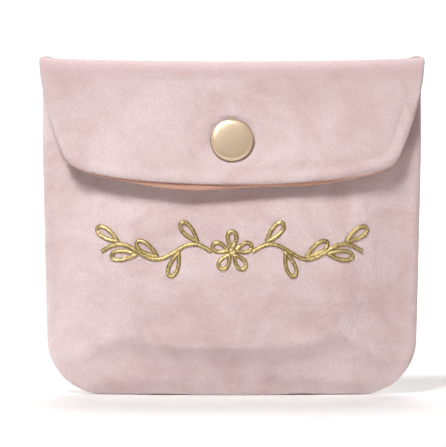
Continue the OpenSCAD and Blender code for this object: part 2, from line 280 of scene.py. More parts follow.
def waves(a, b, length, seed, count=6):
    """Smooth random waves over a surface, from -1 to 1, about this long."""
    random = np.random.default_rng(seed)
    total = 0
    for _ in range(count):
        angle, phase = random.uniform(0, math.tau, 2)
        size = length * random.uniform(0.8, 1.5)
        total = total + np.sin(math.tau * (a * math.cos(angle) + b * math.sin(angle)) / size + phase)
    return total / count * 1.6


# ---------- The snap's axis ----------

SNAP_Z = CAP_MIDDLE[2]
SLOPE = (front_depth(SNAP_Z - 1) - front_depth(SNAP_Z + 1)) / 2
TILT = math.atan(SLOPE)
OUT = np.array([0, -math.cos(TILT), math.sin(TILT)])
UP = np.array([0, math.sin(TILT), math.cos(TILT)])
STUD_Z = (corner("stud_patch", 0)[2] + corner("stud_patch", 1)[2]) / 2
STUD_Z += PADDING_MIDDLE * math.cos(TILT) * math.sin(TILT)
SNAP_FOOT = np.array([0, -float(front_depth(STUD_Z)), STUD_Z])


def from_axis(points):
    """Distance of points from the snap's axis."""
    v = points - SNAP_FOOT
    return np.linalg.norm(v - (v @ OUT)[..., None] * OUT, axis=-1)


# ---------- Meshes ----------


def quads(index):
    """Four-sided faces between the neighbours in a grid of point numbers."""
    return np.stack([index[:-1, :-1], index[:-1, 1:], index[1:, 1:], index[1:, :-1]], -1).reshape(-1, 4)


def joined_up(index):
    """A grid of point numbers with its first column again after its last."""
    return np.concatenate([index, index[:, :1]], 1)


def make(name, points, faces, material, marks=None):
    """A mesh object from points in millimetres, with coincident points joined and its faces outwards."""
    mesh = bpy.data.meshes.new(name)
    places = np.asarray(points).reshape(-1, 3) * MM
    mesh.from_pydata(places.tolist(), [], [list(map(int, f)) for f in faces])
    for slot in material if isinstance(material, (list, tuple)) else [material]:
        mesh.materials.append(slot)
    if marks is not None:
        mesh.polygons.foreach_set("material_index", np.asarray(marks, np.int32))
    bm = bmesh.new()
    bm.from_mesh(mesh)
    bmesh.ops.remove_doubles(bm, verts=bm.verts, dist=2e-6)
    bmesh.ops.dissolve_degenerate(bm, edges=bm.edges, dist=1e-6)
    bmesh.ops.recalc_face_normals(bm, faces=bm.faces)
    for face in bm.faces:
        face.smooth = True
    bm.to_mesh(mesh)
    bm.free()
    obj = bpy.data.objects.new(name, mesh)
    bpy.context.scene.collection.objects.link(obj)
    return obj


def shell_faces(shape, start=0):
    """Faces of a closed sheet between two grids of points of this shape, the far grid after the near one."""
    rows, cols = shape[:2]
    index = np.arange(rows * cols).reshape(rows, cols) + start
    far = rows * cols
    loop = np.concatenate([index[0, :-1], index[:-1, -1], index[-1, :0:-1], index[:0:-1, 0]])
    ahead = np.roll(loop, -1)
    rim = np.stack([loop, loop + far, ahead + far, ahead], -1)
    return np.concatenate([quads(index), quads(index + far)[:, ::-1], rim])


def shell(name, near, far, material):
    """A closed sheet of cloth or padding between two grids."""
    points = np.concatenate([near.reshape(-1, 3), far.reshape(-1, 3)])
    return make(name, points, shell_faces(near.shape), material)


def frames(path, facing, closed):
    """Unit directions along a path, across it and out of the surface it lies on."""
    if closed:
        along = unit(np.roll(path, -1, 0) - np.roll(path, 1, 0))
    else:
        along = unit(np.gradient(path, axis=0))
    across = unit(np.cross(along, facing))
    return along, across, unit(np.cross(across, along))


def tube(path, facing, width, height, sides=8, closed=False, twist=0.0, pitch=1.0):
    """Points and faces of a round or flat cord on a path; twist is how deep its plies are laid."""
    n = len(path)
    _, across, out = frames(path, facing, closed)
    ring = np.linspace(0, math.tau, sides, endpoint=False)
    run = run_from(path[:, None], 0)[:, 0][:, None]
    turns = max(1, round(float(run[-1, 0]) / pitch)) / max(float(run[-1, 0]), 1e-6)
    ply = 1 + twist * np.cos(2 * ring - math.tau * run * turns)
    points = (
        path[:, None]
        + across[:, None] * (width * np.cos(ring) * ply)[..., None]
        + out[:, None] * (height * np.sin(ring) * ply)[..., None]
    )
    index = joined_up(np.arange(n * sides).reshape(n, sides))
    if closed:
        index = np.concatenate([index, index[:1]], 0)
    faces = [list(f) for f in quads(index)]
    if not closed:
        faces += [list(range(sides))[::-1], list(range((n - 1) * sides, n * sides))]
    return points.reshape(-1, 3), faces


class Bundle:
    """Points and faces of many cords or stitches that become one mesh."""

    def __init__(self):
        self.points, self.faces, self.marks, self.count = [], [], [], 0

    def add(self, points, faces, mark=0):
        self.points.append(points)
        self.faces += [[i + self.count for i in f] for f in faces]
        self.marks += [mark] * len(faces)
        self.count += len(points)

    def make(self, name, materials):
        return make(name, np.concatenate(self.points), self.faces, materials, self.marks)


def round_axis(steps):
    """Unit directions all round the snap's axis."""
    turn = np.linspace(0, math.tau, steps, endpoint=False)
    return np.cos(turn)[:, None] * np.array([1.0, 0, 0]) + np.sin(turn)[:, None] * UP


def lathe(name, profile, material, steps=96, at=0.0):
    """A turned metal piece on the snap's axis, from its profile of (radius, height) in millimetres."""
    rim = round_axis(steps)
    profile = np.array(profile, float)
    points = SNAP_FOOT + profile[:, None, :1] * rim + (profile[:, None, 1:] + at) * OUT
    index = joined_up(np.arange(len(profile) * steps).reshape(len(profile), steps))
    index = np.concatenate([index, index[:1]], 0)
    obj = make(name, points, quads(index), material)
    return sharpen(obj)


def sharpen(obj, degrees=35):
    """Smooth shading that keeps turned edges crisp."""
    for edge in obj.data.edges:
        edge.use_edge_sharp = False
    bm = bmesh.new()
    bm.from_mesh(obj.data)
    for edge in bm.edges:
        if len(edge.link_faces) == 2 and edge.calc_face_angle(0) > math.radians(degrees):
            edge.smooth = False
    bm.to_mesh(obj.data)
    bm.free()
    return obj


def bore(obj, radius, reach=30.0):
    """Cuts a round hole through a soft piece on the snap's axis."""
    count = 48
    ends = [SNAP_FOOT + radius * round_axis(count) + s * reach / 2 * OUT for s in (-1, 1)]
    sides = [[k, (k + 1) % count, count + (k + 1) % count, count + k] for k in range(count)]
    caps = [list(range(count)), list(range(count, 2 * count))]
    cutter = make("cutter", np.concatenate(ends), sides + caps, None)
    cut = obj.modifiers.new("bore", "BOOLEAN")
    cut.operation, cut.solver, cut.object = "DIFFERENCE", "EXACT", cutter
    apply_modifiers(obj)
    bpy.data.objects.remove(cutter)
    return obj


def apply_modifiers(obj):
    """Puts what the modifiers make into the object's own mesh."""
    graph = bpy.context.evaluated_depsgraph_get()
    made = bpy.data.meshes.new_from_object(obj.evaluated_get(graph))
    obj.modifiers.clear()
    old, obj.data = obj.data, made
    made.name = obj.name
    bpy.data.meshes.remove(old)


def keep_rest(obj):
    """Stores where each point is at rest, in millimetres, for the materials' patterns to hold on to."""
    co = np.empty(len(obj.data.vertices) * 3, np.float32)
    obj.data.vertices.foreach_get("co", co)
    rest = obj.data.attributes.new("rest", "FLOAT_VECTOR", "POINT")
    rest.data.foreach_set("vector", co / MM)
    return obj


# ---------- Materials ----------


class Shader:
    """A Principled material and short ways to add nodes to it."""

    def __init__(self, name, **values):
        self.material = bpy.data.materials.new(name)
        self.material.use_nodes = True
        self.tree = self.material.node_tree
        self.bsdf = next(n for n in self.tree.nodes if n.type == "BSDF_PRINCIPLED")
        for key, value in values.items():
            self.bsdf.inputs[key.replace("_", " ")].default_value = value
        self.bump = None
        self.place = self.node("ShaderNodeAttribute", attribute_name="rest").outputs["Vector"]

    def node(self, kind, inputs=None, **settings):
        n = self.tree.nodes.new(kind)
        for key, value in settings.items():
            setattr(n, key, value)
        for key, value in (inputs or {}).items():
            self.put(n.inputs[key], value)
        return n

    def put(self, socket, value):
        if isinstance(value, bpy.types.NodeSocket):
            self.tree.links.new(value, socket)
        else:
            socket.default_value = value

    def noise(self, size, detail=3.0, rough=0.55, stretch=(1, 1, 1), distortion=0.0):
        """Noise whose features are about this many millimetres across."""
        scaled = self.node("ShaderNodeMapping", {"Vector": self.place, "Scale": [s / size for s in stretch]})
        made = self.node("ShaderNodeTexNoise", {
            "Vector": scaled.outputs[0], "Scale": 1.0, "Detail": detail, "Roughness": rough,
            "Distortion": distortion})
        return made.outputs["Fac"]

    def ramp(self, value, low, high, start=0.0, end=1.0):
        made = self.node("ShaderNodeMapRange", {
            "Value": value, "From Min": low, "From Max": high, "To Min": start, "To Max": end})
        return made.outputs[0]

    def math(self, operation, a, b=0.0):
        return self.node("ShaderNodeMath", {0: a, 1: b}, operation=operation).outputs[0]

    def blend(self, share, a, b, kind="MIX"):
        made = self.node("ShaderNodeMix", data_type="RGBA", blend_type=kind)
        self.put(made.inputs["Factor"], share)
        self.put(made.inputs[6], a)
        self.put(made.inputs[7], b)
        return made.outputs[2]

    def color(self, value):
        self.put(self.bsdf.inputs["Base Color"], value)

    def set(self, name, value):
        self.put(self.bsdf.inputs[name], value)

    def raise_by(self, height, distance, strength=1.0):
        """Adds relief: height from 0 to 1, times a distance in millimetres."""
        made = self.node("ShaderNodeBump", {
            "Height": height, "Distance": distance * MM, "Strength": strength})
        if self.bump is not None:
            self.tree.links.new(self.bump, made.inputs["Normal"])
        self.bump = made.outputs[0]
        self.tree.links.new(self.bump, self.bsdf.inputs["Normal"])


def tone(red, green, blue):
    return (red, green, blue, 1.0)


def velvet_material():
    """Pink velvet: nap brushed into lighter and deeper patches, a fine pile, and painted shade: a darker,
    rosier band over the top fold's roll.
    """
    s = Shader("pink_velvet", Roughness=0.85, Sheen_Weight=0.8, Sheen_Roughness=0.75)
    s.bsdf.inputs["Sheen Tint"].default_value = tone(1.0, 0.97, 0.97)
    s.bsdf.inputs["Specular IOR Level"].default_value = 0.15
    patches = s.ramp(s.noise(24, 3.5, 0.55, distortion=0.9), 0.36, 0.64)
    brushed = s.ramp(s.noise(5.5, 4.0, 0.65, stretch=(0.55, 0.55, 1.2), distortion=0.5), 0.34, 0.66)
    pile = s.noise(0.6, 2.0, 0.7)
    light, deep = tone(0.80, 0.665, 0.66), tone(0.61, 0.43, 0.425)
    body = s.blend(patches, deep, light)
    body = s.blend(s.ramp(brushed, 0, 1, 0.0, 0.42), body, tone(0.79, 0.665, 0.655))
    split = s.node("ShaderNodeSeparateXYZ", {0: s.place})
    # Painted shade: above 108.5 mm, over the top fold's roll, the velvet is blended towards a darker, rosier
    # tone
    fold = s.ramp(split.outputs[2], 108.5, 112.5, 0.0, 0.6)
    body = s.blend(fold, body, tone(0.60, 0.39, 0.41))
    body = s.blend(s.ramp(pile, 0.32, 0.68, 0.0, 0.42), body, tone(0.47, 0.30, 0.30))
    s.color(body)
    s.set("Roughness", s.ramp(brushed, 0, 1, 0.92, 0.74))
    s.raise_by(s.noise(6.5, 3.5, 0.62, distortion=0.6), 0.7, 0.8)
    s.raise_by(pile, 0.3, 1.0)
    return s.material


def lining_material():
    """Peach satin lining: smooth, slightly shiny, with a fine diagonal twill."""
    s = Shader("peach_lining", Roughness=0.42, Sheen_Weight=0.2, Sheen_Roughness=0.4)
    split = s.node("ShaderNodeSeparateXYZ", {0: s.place})
    diagonal = s.math("ADD", split.outputs[0], split.outputs[2])
    twill = s.math("SINE", s.math("MULTIPLY", diagonal, math.tau / 0.45))
    twill = s.ramp(twill, -1, 1)
    cloud = s.ramp(s.noise(14, 3.0), 0.3, 0.7)
    body = s.blend(cloud, tone(0.56, 0.29, 0.21), tone(0.66, 0.38, 0.28))
    s.color(s.blend(s.ramp(twill, 0, 1, 0, 0.2), body, tone(0.74, 0.48, 0.38)))
    s.raise_by(twill, 0.05, 0.5)
    s.raise_by(s.noise(6, 2.0), 0.3, 0.4)
    return s.material


def padding_material():
    """Off-white fleece wadding."""
    s = Shader("white_fleece", Roughness=0.95, Sheen_Weight=0.5, Sheen_Roughness=0.6)
    tufts = s.noise(1.6, 5.0, 0.7, distortion=1.2)
    s.color(s.blend(s.ramp(tufts, 0.3, 0.7), tone(0.72, 0.70, 0.65), tone(0.88, 0.87, 0.84)))
    s.raise_by(tufts, 0.5, 0.8)
    return s.material


def interfacing_material():
    """Stiff white backing, a felted web of fibres."""
    s = Shader("white_interfacing", Roughness=0.8)
    web = s.noise(0.9, 4.0, 0.75, stretch=(1, 1, 3), distortion=2.0)
    s.color(s.blend(s.ramp(web, 0.35, 0.65), tone(0.70, 0.68, 0.64), tone(0.90, 0.89, 0.86)))
    s.raise_by(web, 0.06, 0.8)
    return s.material


def thread_material():
    """Rose sewing thread."""
    s = Shader("rose_thread", Roughness=0.55, Sheen_Weight=0.3)
    ply = s.noise(0.35, 2.0, 0.6, stretch=(1, 1, 2))
    s.color(s.blend(s.ramp(ply, 0.3, 0.7), tone(0.60, 0.38, 0.35), tone(0.80, 0.60, 0.56)))
    s.raise_by(ply, 0.08, 0.7)
    return s.material


def gold_thread_material(name, dark, light):
    """Metallic embroidery thread, wrapped in foil that glints unevenly."""
    s = Shader(name, Metallic=0.75, Roughness=0.38)
    foil = s.noise(0.6, 3.0, 0.7, distortion=0.8)
    s.color(s.blend(s.ramp(foil, 0.35, 0.65), dark, light))
    s.set("Roughness", s.ramp(foil, 0.3, 0.7, 0.5, 0.28))
    s.raise_by(foil, 0.08, 0.8)
    return s.material


def gold_metal_material():
    """Pale satin gold of the snap, with a faint brushed grain, handling marks and a dark brown ring of
    painted shade on the cap's outer rim, where it meets the velvet.
    """
    s = Shader("pale_gold", Metallic=0.6, Roughness=0.34)
    grain = s.noise(0.5, 3.0, 0.6, stretch=(0.08, 1, 1))
    marks = s.ramp(s.noise(2.2, 4.0, 0.65), 0.35, 0.7)
    body = s.blend(s.ramp(marks, 0, 1, 0, 0.35), tone(0.93, 0.75, 0.53), tone(0.89, 0.70, 0.48))
    split = s.node("ShaderNodeSeparateXYZ", {0: s.place})
    down = s.math("SUBTRACT", split.outputs[2], float(CAP_MIDDLE[2]))
    aside = s.math("MULTIPLY", down, 1 / math.cos(TILT))
    across = s.math("POWER", split.outputs[0], 2.0)
    from_middle = s.math("SQRT", s.math("ADD", across, s.math("MULTIPLY", aside, aside)))
    # Painted shade: a dark brown ring on the cap's rolled rim, from 7.1 to 7.38 mm off its middle
    rim_painted_shade = s.ramp(from_middle, CAP_R - 0.4, CAP_R - 0.12, 0.0, 0.85)
    s.color(s.blend(rim_painted_shade, body, tone(0.24, 0.13, 0.07)))
    s.set("Roughness", s.ramp(marks, 0, 1, 0.3, 0.34))
    s.raise_by(grain, 0.006, 0.4)
    return s.material


def steel_material():
    """Spring wire."""
    s = Shader("spring_wire", Metallic=1.0, Roughness=0.3)
    drawn = s.noise(0.3, 2.0, 0.6, stretch=(1, 0.2, 1))
    s.color(s.blend(drawn, tone(0.52, 0.51, 0.50), tone(0.66, 0.65, 0.64)))
    s.raise_by(drawn, 0.01, 0.5)
    return s.material


velvet = velvet_material()
lining = lining_material()
fleece = padding_material()
interfacing = interfacing_material()
thread = thread_material()
# Two copies of one gold thread: the cords' copy darker, as painted shade at the sides of each line, and the
# filling's copy paler, as a painted highlight along its middle
gold_cord_painted_shade = gold_thread_material("gold_thread_edge_painted_shade", tone(0.20, 0.12, 0.04), tone(0.62, 0.46, 0.16))
gold_fill_painted_highlight = gold_thread_material("gold_thread_fill_painted_highlight", tone(0.42, 0.30, 0.09), tone(0.97, 0.86, 0.50))
gold = gold_metal_material()
steel = steel_material()

# ---------- Front and back walls ----------

columns = spread(ACROSS, SIDE_CROWDING)
front_rows = wall_rows(MOUTH_Z, 0)
back_rows = np.concatenate([wall_rows(FOLD_Z, ROLL_STEPS)[: ROLL_STEPS + EDGE_STEPS + 2], front_rows[1:]])


def settle(front, back):
    """The walls as a cloth simulation leaves them: sewn at the seam, held at the mouth and filled a little.
    Returns how far each point of the two grids moved, in millimetres."""
    both = np.stack([front, back])
    spots, index = np.unique(np.round(both.reshape(-1, 3), 3), axis=0, return_inverse=True)
    index = index.reshape(both.shape[:3])
    faces = np.concatenate([quads(index[0]), quads(index[1])[:, ::-1]]).tolist()
    faces = [list(dict.fromkeys(face)) for face in faces]
    mesh = bpy.data.meshes.new("settling")
    mesh.from_pydata((spots * MM).tolist(), [], [face for face in faces if len(face) > 2])
    obj = bpy.data.objects.new("settling", mesh)
    bpy.context.scene.collection.objects.link(obj)
    held = obj.vertex_groups.new(name="held")
    edges = [index[:, 0], index[:, -1], index[..., 0], index[..., -1]]
    held.add(np.unique(np.concatenate([edge.ravel() for edge in edges])).tolist(), 1.0, "REPLACE")
    cloth = obj.modifiers.new("cloth", "CLOTH")
    c = cloth.settings
    c.quality, c.mass, c.air_damping = 5, 0.3, 1.0
    c.tension_stiffness = c.compression_stiffness = 15.0
    c.shear_stiffness, c.bending_stiffness = 5.0, 0.5
    c.vertex_group_mass, c.pin_stiffness = held.name, 1.0
    c.use_pressure, c.uniform_pressure_force = True, SETTLE_PRESSURE
    c.shrink_min = -0.01
    c.effector_weights.gravity = 0.0
    cloth.collision_settings.use_collision = False
    scene = bpy.context.scene
    for step in range(1, SETTLE_STEPS + 1):
        scene.frame_set(step)
    settled = obj.evaluated_get(bpy.context.evaluated_depsgraph_get()).data
    after = np.empty(len(spots) * 3, np.float32)
    settled.vertices.foreach_get("co", after)
    move = after.reshape(-1, 3) / MM - spots
    bpy.data.objects.remove(obj)
    scene.frame_set(1)
    far = np.linalg.norm(move, axis=1, keepdims=True)
    move *= SETTLE_MOST / (SETTLE_MOST + far)
    return move[index[0]], move[index[1]]


def seam_relief(points, seed):
    """How far each point of a wall moves out where the seam pulls in and the wadding swells beside it."""
    away = to_seam(points)
    gather = waves(points[..., 2], points[..., 0], 9.0, seed) * bell((away - 3.0) / 2.6)
    swell = 0.45 * bell((away - 2.8) / 2.0) + 0.16 * gather
    groove = -0.55 * bell(away / 0.6)
    return swell + groove


def wall_normals(points, side):
    """Outward normals of a wall; at the seam they lie in the seam's own plane, the same for both walls."""
    n = normals(points, (0, side, 0))
    for edge, sign in ((0, -1), (-1, 1)):
        along = unit(np.gradient(points[:, edge], axis=0))
        out = unit(np.cross(along, [0, 1, 0]))
        out[out[:, 0] * sign < 0] *= -1
        n[:, edge] = out
    n[-1] = (0, 0, -1)
    return n


def tucked(points, side):
    """Points of a wall, drawn in below the soft ridge that rises from both bottom corners. It is the same
    share of the depth for every layer, so that none comes through another."""
    x, z = np.abs(points[..., 0]), points[..., 2]
    ridge = 16.5 + 3.7 * bell((x - 36) / 11) - 9.5 * smooth((x - 42) / 20)
    below = (ridge - z + np.sqrt(np.square(ridge - z) + RIDGE_SOFT**2)) / 2
    most = TUCK if side == FRONT else TUCK / 2
    share = most * (1 - np.exp(-TUCK_SLOPE * below / TUCK)) / front_depth(z)
    return points * np.stack([np.ones_like(share), 1 - share, np.ones_like(share)], -1)


def movement(rows, side, seed, settled):
    """The whole movement of a wall's points away from the plain frame's shape."""
    points = wall(rows, columns, 0, side)
    n = wall_normals(points, side)
    out = seam_relief(points, seed)
    inner = smooth(to_seam(points) / 14)
    out = out + 0.45 * inner * waves(points[..., 0], points[..., 2], 34.0, seed + 1)
    calm = 1 - bell((from_axis(points) / 11)) if side == FRONT else 1.0
    top = smooth(((MOUTH_Z if side == FRONT else FOLD_Z) - points[..., 2]) / 12)
    move = n * (out * mix(1, calm * top, smooth((to_seam(points) - 3) / 4)))[..., None]
    if settled is not None:
        lower = points[-len(settled):]
        covered = smooth((lower[..., 2] - FLAP_LOW_Z + 6) / 12) if side == FRONT else 0.0
        rate = smooth(to_seam(points)[-len(settled):] / 8) * (1 - covered)
        move[-len(settled):] += settled * rate[..., None]
    move[..., 2] = np.where(points[..., 2] < 3, np.maximum(move[..., 2], 0), move[..., 2])
    return move


settled_front, settled_back = settle(*(wall(front_rows, columns, 0, side) for side in (FRONT, BACK)))
front_move = movement(front_rows, FRONT, 11, settled_front)
back_move = movement(back_rows, BACK, 23, settled_back)


def move_at(move, u):
    """The movement of a wall between its own columns, at these places across it."""
    return np.stack([at_run(u, columns, row) for row in move])


def drawn_in(u, edge):
    """Columns drawn in near a wall's side edges, where the last one comes to this share of the width."""
    share = np.maximum(0, np.abs(u) - BOUND_FROM) / (1 - BOUND_FROM)
    return u - np.sign(u) * share * (1 - edge)


def layer(name, rows, move, near, far, side, material, step=1, bound_at=None):
    """One layer of a wall between two depths, moved as the wall's surface is. Above the mouth the back's
    free side edges are bound: the velvet turns round them, and the inner layers stop short of them."""
    near, far = (np.broadcast_to(d, len(rows)) for d in (near, far))
    u = columns[::step]
    keep = np.unique(np.append(np.arange(0, len(rows), step), len(rows) - 1))
    free = smooth((rows[keep, 1:2] - MOUTH_Z + 3) / 3)[..., None] if side == BACK else 0.0
    inner_u = drawn_in(u, bound_at or 1)
    grids = []
    for d in (near, far):
        plain = bound = wall(rows[keep], u, d[keep], side) + move[keep][:, ::step]
        if bound_at:
            bound = wall(rows[keep], inner_u, d[keep], side) + move_at(move[keep], inner_u)
        elif d is far:
            bound = plain.copy()
            turned = wall(rows[keep], u[[0, -1]], WALL_T + 0.15, side)
            bound[:, [0, -1]] = turned + move[keep][:, [0, -1]]
        grids.append(tucked(mix(plain, bound, free), side))
    return shell(name, grids[0], grids[1], material)


def hem_depths(edge, skin, inner):
    """Depths of the two faces of a layer that is turned in at an edge: half the wall's thickness there,
    round at the edge itself, and the layer's own thickness further in."""
    swell = np.sqrt(np.clip(1 - np.square(1 - np.minimum(edge / HEM_T, 1)), 0, 1))
    thin = smooth((edge - HEM_T) / 3)
    outer, lower = HEM_T / 2 * (1 - swell), HEM_T / 2 * (1 + swell)
    if inner:
        return HEM_T + mix(outer, WALL_T - HEM_T - skin, thin), HEM_T + lower
    return outer, mix(lower, skin, thin)


def press_in(obj, radius, depth, soft):
    """Presses a soft piece in round the snap's axis, under a metal flange, on its outer side."""
    co = np.array([v.co for v in obj.data.vertices]) / MM
    r = from_axis(co)
    amount = depth * np.where(r < radius, 1, bell((r - radius) / soft))
    for vertex, push in zip(obj.data.vertices, amount):
        vertex.co -= Vector(OUT * push * MM)
    return obj


from_mouth = MOUTH_Z - front_rows[:, 1]
hem_near, hem_far = hem_depths(from_mouth, VELVET_T, False)
velvet_front = layer("velvet_front", front_rows, front_move, hem_near, hem_far, FRONT, velvet)
facing_end = int(np.argmax(from_mouth > FACING_L))
face_near, face_far = hem_depths(from_mouth, WALL_T - LINING_D, True)
mouth_hem = layer("velvet_mouth_hem", front_rows[:facing_end], front_move, face_near[:facing_end],
                  face_far[:facing_end], FRONT, velvet)
lining_from = facing_end - 2
lining_front = layer("lining_front", front_rows[lining_from:], front_move[lining_from:], LINING_D, WALL_T,
                     FRONT, lining, 2)
padding_from = EDGE_STEPS + 1
padding_front = layer("padding_front", front_rows[padding_from:], front_move[padding_from:], PADDING_D,
                      PADDING_D + PADDING_T, FRONT, fleece, 2)
velvet_back = layer("velvet_back", back_rows, back_move, 0, VELVET_T, BACK, velvet)
thinned = PADDING_T * (1 - PADDING_THINNED * smooth((back_rows[:, 1] - MOUTH_Z + 14) / 5))
padding_back = layer("padding_back", back_rows, back_move, PADDING_D, PADDING_D + thinned, BACK, fleece, 2,
                     BOUND_PADDING)
lining_back = layer("lining_back", back_rows, back_move, LINING_D, WALL_T, BACK, lining, 2, BOUND_LINING)

# ---------- Flap ----------

# The flap's cloth is laid out flat, with its height given as if it hung straight down from the fold
ROLL_L = QUARTER_TURN * math.sqrt((FOLD_MID**2 + FOLD_RISE**2) / 2)
FLAP_TOP = FOLD_Z + ROLL_L
TAPER_FROM = FOLD_Z + 0.8 * ROLL_L
TAPER_CURVE = 1.8


def flap_half(t):
    down = np.maximum(0, (TAPER_FROM - t) / (TAPER_FROM - FLAP_CORNER_Z))
    return TOP_HALF - FLAP_TAPER * down**TAPER_CURVE


def flap_outline():
    """The flap's cut edge, from its left end at the fold round to the right end, as (x, height)."""
    u = np.sin(np.linspace(-QUARTER_TURN, QUARTER_TURN, 241))
    ends = FLAP_CORNER_Z - FLAP_LOW_Z - FLAP_BOW
    square = 4.5
    rounding = 1 - np.maximum(0, 1 - np.abs(u) ** square) ** (1 / square)
    low = FLAP_LOW_Z + FLAP_BOW * u * u + ends * rounding
    below = np.stack([u * flap_half(low), low], -1)
    down = np.linspace(FLAP_TOP, FLAP_CORNER_Z, 40)[:-1]
    left = np.stack([-flap_half(down), down], -1)
    return np.concatenate([left, below, (left * [-1, 1])[::-1]])


def resample(line, places):
    """Points of a line at these shares of its length."""
    run = np.concatenate([[0], np.cumsum(np.linalg.norm(np.diff(line, axis=0), axis=1))])
    return at_run(places * run[-1], run, line)


def flap_grid(outline):
    """Points over the flap between its four sides, whose lower corners are half way round the curves."""
    tangent = np.gradient(outline, axis=0)
    steep = np.abs(tangent[:, 1]) > np.abs(tangent[:, 0])
    first = int(np.argmin(steep))
    last = len(outline) - first
    left, low, right = outline[: first + 1], outline[first:last], outline[last - 1 :]
    t = np.linspace(0, 1, FLAP_ROWS + 1)
    v = mix(t, np.sin(t * QUARTER_TURN), 0.75)
    u = (spread(ACROSS, SIDE_CROWDING) + 1) / 2
    top = np.stack([mix(-TOP_HALF, TOP_HALF, u), np.full_like(u, FLAP_TOP)], -1)
    low, left, right = resample(low, u), resample(left, v), resample(right[::-1], v)
    u, v = u[None, :, None], v[:, None, None]
    sides = (1 - v) * top[None] + v * low[None] + (1 - u) * left[:, None] + u * right[:, None]
    corners = (1 - v) * ((1 - u) * top[0] + u * top[-1]) + v * ((1 - u) * low[0] + u * low[-1])
    return sides - corners


def to_line(points, line):
    """Distance of flat points from a line."""
    a, b = line[:-1], line[1:]
    span = b - a
    best = np.full(points.shape[:2], np.inf)
    for start, way in zip(a, span):
        along = np.clip(((points - start) @ way) / (way @ way), 0, 1)
        best = np.minimum(best, np.linalg.norm(points - start - along[..., None] * way, axis=-1))
    return best


def flap_surface(flat):
    """The flap's outer face over flat points: round the front half of the fold, then down the front."""
    x, t = flat[..., 0], flat[..., 1]
    z = np.minimum(t, FOLD_Z)
    u = np.clip(x / half_w(z), -1, 1)
    angle = math.pi - QUARTER_TURN * np.clip((t - FOLD_Z) / ROLL_L, 0, 1)
    stand = FLAP_FLARE * np.square((FOLD_Z - z) / (FOLD_Z - FLAP_LOW_Z))
    hang = -mix(FOLD_END, front_depth(z) + FLAP_GAP + WALL_T, lens(u)) - stand
    over = t > FOLD_Z
    y = np.where(over, fold_a(u) * np.cos(angle), hang)
    height = np.where(over, FOLD_Z + fold_h(u) * np.sin(angle), z)
    points = np.stack([x, y, height], -1)
    down = (FOLD_Z - z) / (FOLD_Z - FLAP_LOW_Z)
    free = np.square(smooth(down)) * (1 - bell(from_axis(points) / 13))
    lift = 1.0 + 2.1 * bell((x + 28) / 30) + 0.7 * bell((x - 34) / 18)
    points[..., 1] -= free * lift
    points[..., 1] += 0.35 * (1 - bell(from_axis(points) / 13)) * smooth(down * 3) * waves(x, t, 30.0, 5)
    return points


def flap_lowered(flat, edge):
    """Flat points let down towards the lower edge, so that the lining peeps out below the velvet."""
    x = flat[..., 0]
    peep = 1.75 * bell((x + 17) / 19) + 0.85 * bell((x - 27) / 15) + 0.25
    made = flat.copy()
    made[..., 1] -= peep * bell(edge / 4.5) * smooth((FLAP_CORNER_Z - 1 - flat[..., 1]) / 5)
    return made


def flap_layer(name, flat, edge, near, far, material, step=1):
    surface = flap_surface(flat)
    n = normals(surface, (0, -1, 0))
    near, far = (np.broadcast_to(d, edge.shape)[..., None] for d in (near, far))
    return shell(name, (surface - n * near)[::step, ::step], (surface - n * far)[::step, ::step], material)


outline = flap_outline()
flap_flat = flap_grid(outline)
flap_edge = to_line(flap_flat, outline)
near, far = hem_depths(flap_edge, VELVET_T, False)
rolled = 0.4 * bell((flap_edge - 1.9) / 1.2) - 0.25 * bell((flap_edge - 4.6) / 1.2)
near = near - rolled * smooth((FOLD_Z - flap_flat[..., 1]) / 12)
velvet_flap = flap_layer("velvet_flap", flap_flat, flap_edge, near, far, velvet)
near, far = hem_depths(flap_edge, WALL_T - LINING_D, True)
lining_flap = flap_layer("lining_flap", flap_lowered(flap_flat, flap_edge), flap_edge, near, far, lining)
thick = smooth((flap_edge - 1.8) / 1.2)
padding_flap = flap_layer("padding_flap", flap_flat, flap_edge, PADDING_MIDDLE - thick * PADDING_T / 2,
                          PADDING_MIDDLE + thick * PADDING_T / 2, fleece, 2)

# ---------- Holes and dents for the snap ----------

press_in(velvet_front, STUD_FLANGE_R, PRESS, 1.2)
press_in(velvet_flap, CAP_R + 0.35, PRESS + 0.45, 0.7)
for piece in (velvet_front, velvet_flap, mouth_hem):
    bore(piece, POST_R + METAL_GAP)
bore(lining_flap, SOCKET_R - 0.3)
bore(padding_front, POST_R + 0.6)
bore(padding_flap, SOCKET_R + METAL_GAP)

# ---------- Embroidery ----------


def surface_of(obj):
    """A function from x and z to the point and normal of a piece's front."""
    tree = BVHTree.FromObject(obj, bpy.context.evaluated_depsgraph_get())

    def on(x, z):
        hit, normal, _, _ = tree.ray_cast(Vector((x * MM, -0.1, z * MM)), Vector((0, 1, 0)))
        return np.array(hit) / MM, np.array(normal) * (1 if normal.y < 0 else -1)

    return on


on_front = surface_of(velvet_front)


def laid(path, lift):
    """A flat path laid on the front, with the surface's normals."""
    found = [on_front(x, z) for x, z in path]
    points, facing = (np.array([f[k] for f in found]) for k in (0, 1))
    return points + facing * lift, facing


def stitch_line(bundle, path, closed=False):
    """One line of the sprig: two twisted gold cords with a satin filling between them. The cords take the
    darker copy of the gold thread, as painted shade, and the filling the paler copy, as a painted highlight.
    """
    steps = max(12, int(np.linalg.norm(np.diff(path, axis=0), axis=1).sum() / 0.2))
    path = resample(np.concatenate([path, path[:1]]) if closed else path, np.linspace(0, 1, steps + 1))
    path = path[:-1] if closed else path
    points, facing = laid(path, 0.22)
    _, across, out = frames(points, facing, closed)
    for side in (-1, 1):
        cord = points + side * 0.45 * across
        bundle.add(*tube(cord, out, 0.24, 0.27, 8, closed, 0.25, 0.8), mark=0)
    bundle.add(*tube(points + 0.05 * out, out, 0.34, 0.24, 8, closed, 0.2, 0.5), mark=1)


